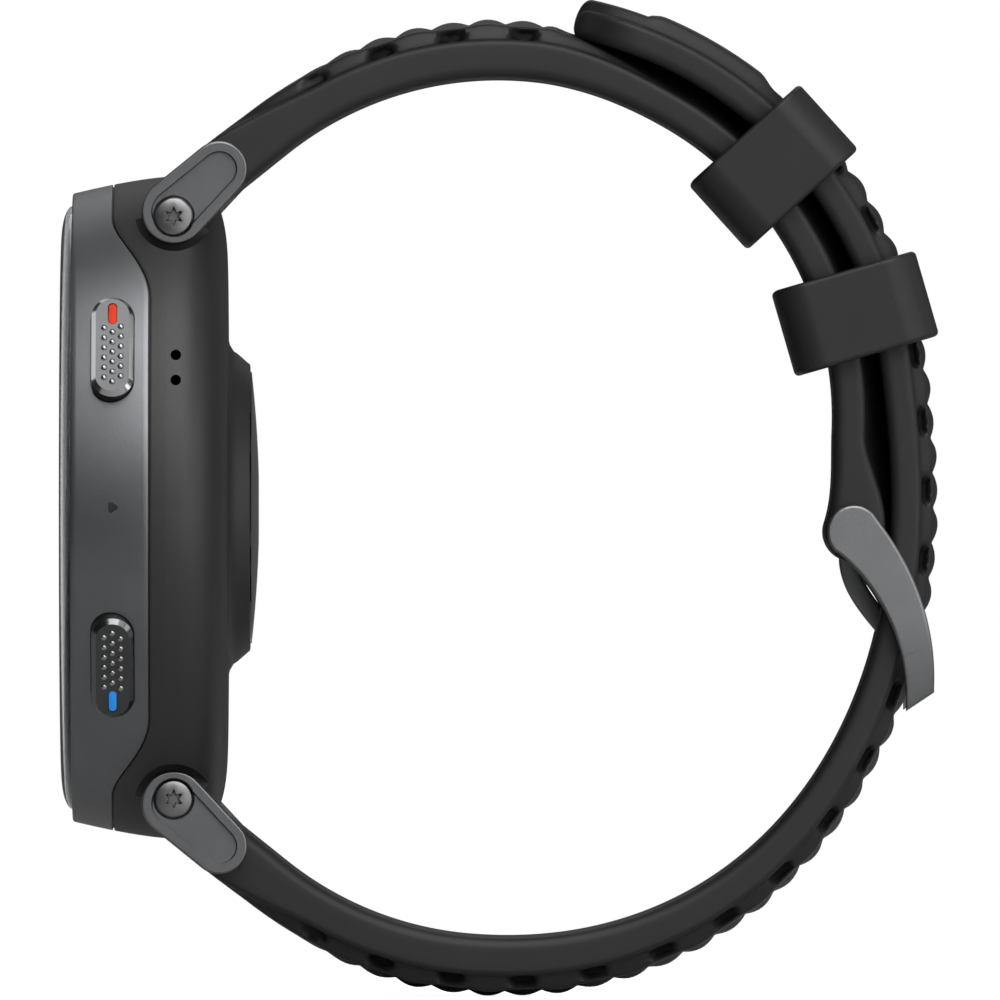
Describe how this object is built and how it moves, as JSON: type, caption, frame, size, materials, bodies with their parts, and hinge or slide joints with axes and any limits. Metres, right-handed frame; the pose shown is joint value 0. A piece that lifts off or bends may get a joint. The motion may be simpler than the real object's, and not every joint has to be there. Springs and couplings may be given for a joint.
{
  "type": "gps running watch",
  "caption": "Round sports watch with a wave-seamed metal bezel, side push buttons, screwed lug links and a fastened bumpy silicone strap with a pin buckle and sliding keepers.",
  "frame": {"origin": "flat middle of the sensor lens, where the watch rests on the wrist", "axes": "+Z towards twelve o'clock, +X towards the button side, -Y out of the display"},
  "size_m": [0.0466, 0.0616, 0.0696],
  "materials": {
    "cover_glass": "polished, dark",
    "sensor_window": "polished, dark",
    "bezel_metal": "bead blasted, dark grey",
    "button_metal": "bead blasted with a polished chamfer",
    "link_metal": "satin gunmetal",
    "screw_steel": "turned",
    "buckle_metal": "satin",
    "rear_polymer": "matte charcoal",
    "strap_silicone": "matte black",
    "seal_rubber": "matte",
    "orange_inlay": "satin",
    "blue_inlay": "satin",
    "display": "dark screen",
    "carrier_plastic": "moulded",
    "circuit_board": "solder mask",
    "battery_foil": "foil",
    "antenna_copper": "plated",
    "metal_can": "tinned"
  },
  "bodies": {
    "watch": {"front_glass": "cover_glass", "display_panel": "display", "bezel": "bezel_metal", "case_seal": "seal_rubber", "rear_case": "rear_polymer", "sensor_lens": "sensor_window", "sensor_board": "circuit_board", "charge_contact_1": "screw_steel", "charge_contact_2": "screw_steel", "inner_frame": "carrier_plastic", "main_board": "circuit_board", "battery": "battery_foil", "antenna_arc": "antenna_copper", "gps_module": "metal_can", "vibration_motor": "metal_can", "speaker": "metal_can", "microphone": "metal_can", "button_upper_seal": "seal_rubber", "button_upper_switch": "metal_can", "button_lower_seal": "seal_rubber", "button_lower_switch": "metal_can", "lug_upper_right": "link_metal", "lug_upper_left": "link_metal", "lug_lower_right": "link_metal", "lug_lower_left": "link_metal", "lug_screw_upper_right": "screw_steel", "lug_screw_upper_left": "screw_steel", "lug_screw_lower_right": "screw_steel", "lug_screw_lower_left": "screw_steel", "strap_pin_upper": "screw_steel", "strap_pin_lower": "screw_steel", "strap_upper": "strap_silicone", "strap_lower": "strap_silicone", "buckle_pin": "screw_steel"},
    "upper_button": {"button_upper": "button_metal", "button_upper_mark": "orange_inlay", "button_upper_clip": "screw_steel"},
    "lower_button": {"button_lower": "button_metal", "button_lower_mark": "blue_inlay", "button_lower_clip": "screw_steel"},
    "upper_keeper": {"keeper_upper": "strap_silicone"},
    "lower_keeper": {"keeper_lower": "strap_silicone"},
    "buckle": {"buckle_frame": "buckle_metal"},
    "tongue": {"buckle_tongue": "buckle_metal"}
  },
  "joints": [
    {"name": "upper_button_press", "type": "slide", "parent": "watch", "child": "upper_button", "axis": [-0.8788, 0, -0.4772], "range_m": [0, 0.0004], "stiffness_N_per_m": 5000, "springref_m": -0.0002},
    {"name": "lower_button_press", "type": "slide", "parent": "watch", "child": "lower_button", "axis": [-0.8788, 0, 0.4772], "range_m": [0, 0.0004], "stiffness_N_per_m": 5000, "springref_m": -0.0002},
    {"name": "upper_keeper_slide", "type": "hinge", "parent": "watch", "child": "upper_keeper", "pos_m": [0, 0.01682, 0.00638], "axis": [1, 0, 0], "range_deg": [-3, 8]},
    {"name": "lower_keeper_slide", "type": "hinge", "parent": "watch", "child": "lower_keeper", "pos_m": [0, 0.01682, 0.00638], "axis": [1, 0, 0], "range_deg": [-3, 3]},
    {"name": "buckle_turn", "type": "hinge", "parent": "watch", "child": "buckle", "pos_m": [0, 0.04182, -0.00172], "axis": [1, 0, 0], "range_deg": [-1, 2]},
    {"name": "tongue_turn", "type": "hinge", "parent": "buckle", "child": "tongue", "pos_m": [0, 0.04182, -0.00172], "axis": [1, 0, 0], "range_deg": [-0.5, 0.5]}
  ]
}
